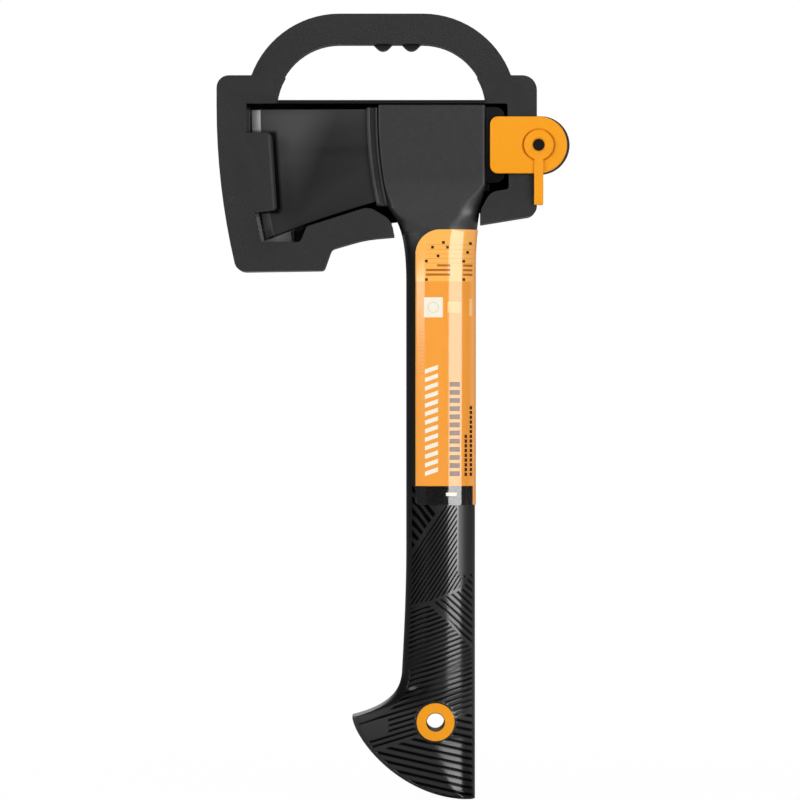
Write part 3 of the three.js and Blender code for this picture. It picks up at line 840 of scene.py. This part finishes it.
def moulded(name, color, roughness, specular=0.5, speck=0.08, wear=0.35, lines=0.0, painted_light_of=None):
    """Injection-moulded plastic: a fine eroded grain, faint flow marks and slightly polished edges.

    lines sets how strong its moulded lines are. The last argument gives the share of light that reaches it,
    which is painted into its colour and shine as painted shade and painted light.
    """
    n = new_material(name)
    fine = n.noise(2600, 3)
    if lines:
        marks = n.mix(n.above(n.x, HATCH_TURN_X, 0.004), hatch(n, -57, 0.0008), hatch(n, -40, 0.00095))
        fine = n.scaled(marks, lines, n.product(fine, 1 - lines))
    broad = n.noise(38, 4)
    edge = n.worn_edges(7.1)
    tone = n.scaled(fine, speck, n.scaled(broad, speck, 1 - speck))
    shine = n.scaled(fine, 2.4 * lines * specular, (1 - 1.2 * lines) * specular)
    # painted shade and painted light: colour and shine are scaled by the share of light
    if painted_light_of:
        depth = painted_light_of(n)
        tone = n.product(tone, depth)
        shine = n.product(depth, shine)
    shade = n.add("ShaderNodeVectorMath", {0: color[:3], "Scale": tone}, operation="SCALE").outputs[0]
    lighter = tuple(min(1, v * 1.9 + 0.01) for v in color[:3]) + (1,)
    return n.surface({
        "Base Color": n.mix(n.product(edge, wear), shade, lighter),
        "Roughness": n.scaled(broad, 0.12, n.scaled(edge, -0.1, roughness - 0.06)),
        "Normal": n.bump(0.12, fine),
        "Specular IOR Level": shine,
    })


# Places for the painted light and shade on the sheath and on the blade. The sheath's front face looks along
# -y.
POCKET_FLOOR = -0.0015
POCKET_X = (-0.0985, 0.0348)
POCKET_Z = (BUTT_Z + 0.2805, BUTT_Z + 0.3532)
BAR_X = (-0.0825, 0.0225)  # the thin bar between the pocket and the carry loop
BAR_Z = (BUTT_Z + 0.3506, POCKET_Z[1])
LEDGE_X, LEDGE_TOP = -0.0875, BUTT_Z + 0.3485  # beside the cutting edge
SHELF_X, SHELF_TOP = -0.074, BUTT_Z + 0.296  # at the blade's toe
TAB_TOP, TAB_FOOT = BUTT_Z + 0.3365, BUTT_Z + 0.2972  # corners of the retaining tab's free edge
TAB_X = -0.0852  # of the upper corner
TAB_LEAN = 0.066
HARD = 0.0003  # how far the change at a crisp border reaches


def past_tab(n):
    """How far a point lies beyond the free edge of the retaining tab."""
    edge = n.scaled(n.math("SUBTRACT", TAB_TOP, n.z), TAB_LEAN, TAB_X)
    return n.math("SUBTRACT", n.x, edge)


def tab_rim_highlight_and_lip_shade(n):
    """A painted highlight, over 1, on the rim along the tab's free edge, painted shade, under 1, on the lip
    beyond it, and 1 elsewhere.
    """
    past = past_tab(n)
    on_tab = n.between(n.z, TAB_FOOT + 0.001, TAB_TOP - 0.0015, 0.001)
    rim = n.product(n.between(past, -0.0021, -0.0012, HARD), on_tab)
    lip = n.product(n.between(past, -0.0009, 0.001, 0.0002), on_tab)
    return n.scaled(lip, -0.55, n.scaled(rim, 0.9, 1.0))


def tab_shadow(n):
    """1 on the blade close beside the tab and close below it, where little light reaches."""
    past = past_tab(n)
    beside = n.product(n.below(past, 0.0022, 0.0009), n.between(n.z, TAB_FOOT, TAB_TOP + 0.001, 0.001))
    at_foot = n.between(n.z, TAB_FOOT - 0.0014, TAB_FOOT + 0.001, 0.0006)
    return n.largest(beside, n.product(n.below(past, 0.0012, 0.001), at_foot))


def ledge_and_shelf_painted_light(n):
    """Painted light: over 1 on the ledge and on the shelf, and 0 elsewhere."""
    ledge = n.product(n.below(n.x, LEDGE_X, 0.001), n.below(n.z, LEDGE_TOP, 0.0005), 1.5)
    shelf = n.product(n.below(n.x, SHELF_X, 0.008), n.below(n.z, SHELF_TOP, 0.003), 4.0)
    return n.largest(ledge, shelf)


def in_pocket(n):
    """1 between the pocket's walls, in front of its floor."""
    return n.product(n.between(n.x, *POCKET_X, HARD), n.between(n.z, *POCKET_Z, HARD),
                     n.below(n.y, POCKET_FLOOR, 0.0005))


def sheath_painted_light(n):
    """The painted share of light on the sheath: 1 on its front and back, with painted shade on the thin bar
    and a painted highlight and shade at the tab's edge.

    Behind the front face painted shade brings it to 0.5, down in the pocket to 0.12, and painted light raises
    it on the ledge and the shelf.
    """
    front = n.below(n.y, SHEATH_FRONT + 0.003, 0.002)
    back = n.above(n.y, POCKET_FLOOR, 0.0005)
    # painted shade on the thin bar
    bar = n.product(n.between(n.z, *BAR_Z, HARD), n.between(n.x, *BAR_X, 0.001))
    face = n.product(front, n.scaled(bar, -0.75, 1.0), tab_rim_highlight_and_lip_shade(n))
    lit = n.product(ledge_and_shelf_painted_light(n), n.opposite(front))
    least = n.scaled(in_pocket(n), -0.38, 0.5)
    return n.largest(face, lit, least, back)


def bush_hole_shade(n):
    """1 on the bush's flange, and near 0 inside its hole, where shade is painted."""
    radius = n.radius(EYELET_X * MM, BUTT_Z + EYELET_Z * MM)
    return n.largest(n.above(radius, 0.00475, 0.0001), 0.02)


def printed(name, color):
    """Ink under the film's gloss, with a faint uneven coverage."""
    n = new_material(name)
    tone = n.mix(n.product(n.noise(900), 0.25), color, toned(color, (0.8, 0.8, 0.8)))
    return n.surface({"Base Color": tone, "Roughness": 0.2})


def film_color(n):
    """Orange, paler print at the top, and painted light along the edge that turns round the spine."""
    cloudy = n.mix(n.noise(30, 3), ORANGE_PRINT, toned(ORANGE_PRINT, (0.97, 0.92, 0.85)))
    orange = n.mix(n.above(n.z, BUTT_Z + (LABEL_Z1 - 26.2) * MM, 0.0001), cloudy, PALE_PRINT)
    return n.mix(n.above(n.x, (SPINE - 2.2) * MM, 0.0012), orange, FILM_EDGE_LIGHT)


def clear_film(n, bump):
    """Smoky clear film, through which the handle shows."""
    gloss = n.add("ShaderNodeBsdfGlossy", {"Color": grey(1.0), "Roughness": 0.1, "Normal": bump}).outputs[0]
    smoky = n.add("ShaderNodeBsdfTransparent", {"Color": grey(0.55)}).outputs[0]
    fresnel = n.add("ShaderNodeFresnel", {"IOR": 1.65}).outputs[0]
    return n.add("ShaderNodeMixShader", {0: fresnel, 1: smoky, 2: gloss}).outputs[0]


def film_material():
    """Glossy printed film, whose lowest band is clear except for a hem along the spine."""
    n = new_material("label film")
    band = n.above(n.z, BUTT_Z + BAND_Z * MM, 0.0001)
    hem = n.above(n.x, (SPINE - 1.2) * MM, 0.0002)
    crease = n.bump(0.06, n.noise(160), 0.0003)
    ink = n.add("ShaderNodeBsdfPrincipled", {
        "Base Color": film_color(n), "Roughness": 0.1, "Normal": crease, "Specular IOR Level": 0.66,
    }).outputs[0]
    both = {0: n.largest(band, hem), 1: clear_film(n, crease), 2: ink}
    return n.finish(n.add("ShaderNodeMixShader", both).outputs[0])


def ridge_normal(n):
    """The smooth surface's direction on the tops of the ribs, and the mesh's own everywhere else."""
    world = n.add("ShaderNodeVectorTransform", {0: n.stored("envelope", "Vector")}, vector_type="NORMAL",
                  convert_from="OBJECT", convert_to="WORLD").outputs[0]
    own = n.add("ShaderNodeNewGeometry").outputs["Normal"]
    mixed = n.add("ShaderNodeMix", {0: n.stored("ridge"), 4: own, 5: world}, data_type="VECTOR").outputs[1]
    return n.add("ShaderNodeVectorMath", {0: mixed}, operation="NORMALIZE").outputs[0]


def grip_color(n, groove, satin, matte, fine):
    ribs = n.mix(n.product(fine, 0.5), grey(0.008), grey(0.014))
    # painted shade: the grooves are near black, and the satin parts a dark tone
    satin_tone_and_groove_shade = n.mix(groove, grey(0.003), grey(0.0004))
    mottle = n.scaled(n.noise(500, 5), 0.6, n.product(fine, 0.4))
    return n.mix(matte, n.mix(n.largest(groove, satin), ribs, satin_tone_and_groove_shade), n.mix(mottle, grey(0.009), grey(0.028)))


def grip_roughness(n, groove, satin, matte, housing):
    glossy = n.scaled(n.noise(45, 4), 0.05, 0.15)
    grip = n.scaled(groove, 0.05, n.scaled(satin, 0.2, glossy))
    grainy = n.scaled(housing, 0.12, 0.33)
    return n.scaled(matte, n.math("SUBTRACT", grainy, grip), grip)


def grip_shine(n, groove, matte, housing):
    """Low in the grooves and on the housing, and lowered on the finger side and at the butt."""
    shine = n.scaled(housing, -0.27, n.scaled(matte, -0.2, n.scaled(groove, -0.78, 0.85)))
    above_hook = n.above(n.z, BUTT_Z + 0.047, 0.005)
    finger_side = n.product(n.below(n.x, -0.004, 0.006), n.opposite(matte), above_hook)
    butt = n.below(n.z, BUTT_Z + 0.036, 0.008)
    return n.product(shine, n.scaled(finger_side, -0.75, 1.0), n.scaled(butt, -0.35, 1.0))


def grip_material():
    """Black composite: glossy rib tops, grooves with painted shade that are nearly black, satin margins, and
    a matte housing round the head.
    """
    n = new_material("handle composite")
    groove, satin = n.stored("groove"), n.stored("satin")
    matte = n.above(n.z, BUTT_Z + (LABEL_Z1 - 4) * MM, 0.006)
    housing = n.above(n.z, BUTT_Z + 0.306, 0.008)
    fine = n.noise(2400, 3)
    return n.surface({
        "Base Color": grip_color(n, groove, satin, matte, fine),
        "Roughness": grip_roughness(n, groove, satin, matte, housing),
        "Normal": n.bump(n.scaled(matte, 0.2, 0.02), fine, normal=ridge_normal(n)),
        "Specular IOR Level": grip_shine(n, groove, matte, housing),
    })


EDGE_RADIUS = 0.300  # of the cutting edge's arc
EDGE_CENTRE = (EDGE_X + EDGE_RADIUS, BUTT_Z + 0.3488)
GROUND = 0.0045  # width of the bare steel on the ground bevel
TOE_Z = BUTT_Z + 0.312  # the painted light on the blade's face and bevel fades below this height
SHEEN_END = (-0.0622, BUTT_Z + 0.3428)  # painted sheen: the coating is painted lighter from here to the cutting edge
SHEEN_LEAN = 0.4


def bevel_mask(n, blade_side):
    """1 on the bare steel of the bevel along the cutting edge."""
    return n.product(n.above(n.radius(*EDGE_CENTRE), EDGE_RADIUS - GROUND, 0.00012), blade_side)


def coating(n, blade_side):
    """Black, with a painted sheen that is brighter towards the cutting edge and above the toe, and lighter
    where it is worn on its corners.
    """
    across = n.scaled(n.math("SUBTRACT", SHEEN_END[1], n.z), SHEEN_LEAN, n.x)
    # painted sheen, weaker below the toe
    upper = n.scaled(n.above(n.z, TOE_Z, 0.012), 0.3, 0.7)
    painted_sheen = n.product(n.below(across, SHEEN_END[0], 0.009), upper)
    painted_sheen = n.math("MULTIPLY", painted_sheen, n.scaled(n.noise(30, 3), 0.3, 0.85), clamp=True)
    corners = n.product(n.worn_edges(7.15), blade_side, 0.7)
    return n.mix(corners, n.mix(painted_sheen, grey(0.0015), grey(0.052)), grey(0.07))


def head_material():
    """Black coating, and bare steel with fine grinding lines on the bevel at the cutting edge, with painted
    shade on the bevel's lower part and a painted shadow beside and below the tab.
    """
    n = new_material("coated steel")
    blade_side = n.math("LESS_THAN", n.x, 0.0)
    bare = bevel_mask(n, blade_side)
    stretched = n.add("ShaderNodeMapping", {"Vector": n.at, "Scale": (300, 300, 9000)}).outputs[0]
    lines = n.noise(1.0, 3, stretched)
    grain = n.noise(700, 4)
    # painted shade: the bare steel is much darker below the toe
    steel = n.mix(n.above(n.z, TOE_Z, 0.018), grey(0.15), n.mix(lines, grey(0.75), grey(0.98)))
    shadow = tab_shadow(n)
    color = n.mix(n.product(shadow, 0.92), n.mix(bare, coating(n, blade_side), steel), grey(0.001))
    rough_coat = n.mix(grain, grey(0.26), grey(0.34))
    rough_steel = n.mix(lines, grey(0.34), grey(0.42))
    shine = n.scaled(n.above(n.z, BUTT_Z + 0.322, 0.022), 0.24, 0.05)
    return n.surface({
        "Base Color": color,
        "Roughness": n.mix(bare, rough_coat, rough_steel),
        "Metallic": bare,
        "Normal": n.bump(0.08, n.mix(bare, grain, lines)),
        "Specular IOR Level": n.product(shine, n.scaled(shadow, -0.85, 1.0)),
    })


# ---- Rounded copies of CAD nodes ---------------------------------------------------------------


def rounded(node, name, body, width, angle=28, segments=2):
    """A copy of a CAD node with whole flat faces and rounded edges, shown in its place."""
    mesh = bmesh.new()
    mesh.from_mesh(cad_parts[node].data)
    bmesh.ops.remove_doubles(mesh, verts=mesh.verts, dist=2e-6)
    bmesh.ops.dissolve_limit(
        mesh, angle_limit=math.radians(0.4), verts=mesh.verts, edges=mesh.edges, use_dissolve_boundaries=False
    )
    sharp = [e for e in mesh.edges if len(e.link_faces) == 2 and e.calc_face_angle() > math.radians(angle)]
    bmesh.ops.bevel(
        mesh, geom=sharp, offset=width * MM, offset_type="OFFSET", segments=segments, profile=0.5,
        affect="EDGES", clamp_overlap=False, harden_normals=False,
    )
    data = bpy.data.meshes.new(name)
    mesh.to_mesh(data)
    mesh.free()
    piece = linked(name, data)
    data.polygons.foreach_set("use_smooth", [True] * len(data.polygons))
    shade = piece.modifiers.new("normals", "WEIGHTED_NORMAL")
    shade.weight = 100
    shade.keep_sharp = False
    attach(piece, body)
    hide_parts(node)
    return piece


def make_copies():
    orange = moulded("orange plastic", ORANGE, 0.35, specular=0.25, wear=0.1)
    bush = moulded("bush plastic", ORANGE, 0.35, specular=0.3, wear=0.1, painted_light_of=bush_hole_shade)
    shell = moulded("sheath plastic", grey(0.0135), 0.5, specular=0.22, speck=0.3, wear=0.6, lines=0.6,
                    painted_light_of=sheath_painted_light)
    rivet = moulded("rivet plastic", grey(0.003), 0.5, specular=0.1)
    for node, name, body, width, material, slot in (
        ("sheath_body", "sheath_shell", AXE, 0.3, shell, "sheath_plastic"),
        ("axe_head", "head_forging", AXE, 0.3, head_material(), "coated_steel"),
        ("latch_plate", "latch_plate_moulding", LATCH, 0.6, orange, "orange_plastic"),
        ("latch_lever", "latch_lever_moulding", LATCH, 0.25, orange, "orange_plastic"),
        ("latch_retainer", "latch_rivet", LATCH, 0.2, rivet, "sheath_plastic"),
        ("eyelet_front", "lanyard_bush", AXE, 0.3, bush, "orange_plastic"),
        ("eyelet_back", "lanyard_bush_ring", AXE, 0.3, orange, "orange_plastic"),
    ):
        piece = rounded(node, name, body, width)
        assign(piece, material)


# ---- Stage ------------------------------------------------------------------------------------

CAMERA_DISTANCE = 2.5
SENSOR = 36
FLOOR_SIDE = 5.0  # half of the floor's width
FIELD = 0.4055  # width of the picture at the middle plane
AIM = Vector((-0.0206, MIDDLE_Y, BUTT_Z + 0.2014))


def make_camera():
    data = bpy.data.cameras.new("camera")
    data.sensor_width = SENSOR
    data.lens = SENSOR * CAMERA_DISTANCE / FIELD
    camera = linked("camera", data)
    camera.location = AIM - Vector((0, CAMERA_DISTANCE, 0))
    camera.rotation_euler = (math.pi / 2, 0, 0)
    bpy.context.scene.camera = camera


def soft_box(name, azimuth, distance, low, high, width, radiance, tilt=0.0):
    """A standing area light between two heights above the aim, tilted down by tilt degrees.

    It stands at azimuth degrees: 0 is in front, 90 on the poll's side and 180 behind.
    """
    data = bpy.data.lights.new(name, "AREA")
    data.shape = "RECTANGLE"
    data.size, data.size_y = width, high - low
    data.energy = radiance * math.pi * width * (high - low)
    light = linked(name, data)
    a = math.radians(azimuth)
    light.location = AIM + Vector((math.sin(a) * distance, -math.cos(a) * distance, (low + high) / 2))
    light.rotation_euler = (math.pi / 2 - math.radians(tilt), 0, a)


def make_floor():
    """A pale matte floor. What the camera sees of it is almost as bright as the backdrop."""
    n = new_material("floor")
    mottle = n.noise(3)
    seen = n.add("ShaderNodeLightPath").outputs["Is Camera Ray"]
    reach = n.add("ShaderNodeVectorMath", {0: n.at}, operation="LENGTH").outputs["Value"]
    near = n.below(reach, 0.32, 0.28)
    shown = n.mix(near, grey(0.0), n.mix(mottle, grey(0.06), grey(0.08)))
    matte = n.surface({
        "Base Color": n.mix(seen, n.mix(mottle, grey(0.7), grey(0.76)), shown),
        "Roughness": 0.9,
        "Specular IOR Level": 0.0,
        "Emission Color": grey(1.0),
        "Emission Strength": n.product(seen, n.scaled(near, -0.06, 1.0)),
    })
    side, level = FLOOR_SIDE, CAD_BOX[0].z
    corners = [(-side, -side, level), (side, -side, level), (side, side, level), (-side, side, level)]
    floor = new_object("floor", corners, [(0, 1, 2, 3)], False)
    assign(floor, matte)


def make_world():
    """White to the camera, faint in reflections, and a dim even fill to everything else."""
    n = Nodes(bpy.data.worlds.new("studio"))
    ray = n.add("ShaderNodeLightPath").outputs
    fill, glossy, white = (
        n.add("ShaderNodeBackground", {"Color": grey(1.0), "Strength": strength}).outputs[0]
        for strength in (0.35, 0.09, 1.0)
    )
    unseen = n.add("ShaderNodeMixShader", {0: ray["Is Glossy Ray"], 1: fill, 2: glossy}).outputs[0]
    both = n.add("ShaderNodeMixShader", {0: ray["Is Camera Ray"], 1: unseen, 2: white}).outputs[0]
    bpy.context.scene.world = n.finish(both, "ShaderNodeOutputWorld")


# ---- The whole scene --------------------------------------------------------------------------

assign(make_handle(), grip_material())
assign(make_film(), film_material())
make_print()
make_copies()
make_camera()
make_floor()
make_world()
soft_box("key strip", 36, 2.0, -0.42, 0.55, 1.28, 6.5)
soft_box("left strip", -52, 2.0, 0.08, 1.25, 1.08, 5.8)
soft_box("front fill", 0, 2.6, 0.7, 1.6, 2.0, 1.2, tilt=20)
soft_box("back fill", 180, 2.6, 0.3, 1.5, 2.0, 1.6, tilt=15)
bpy.context.scene.view_settings.view_transform = "Standard"
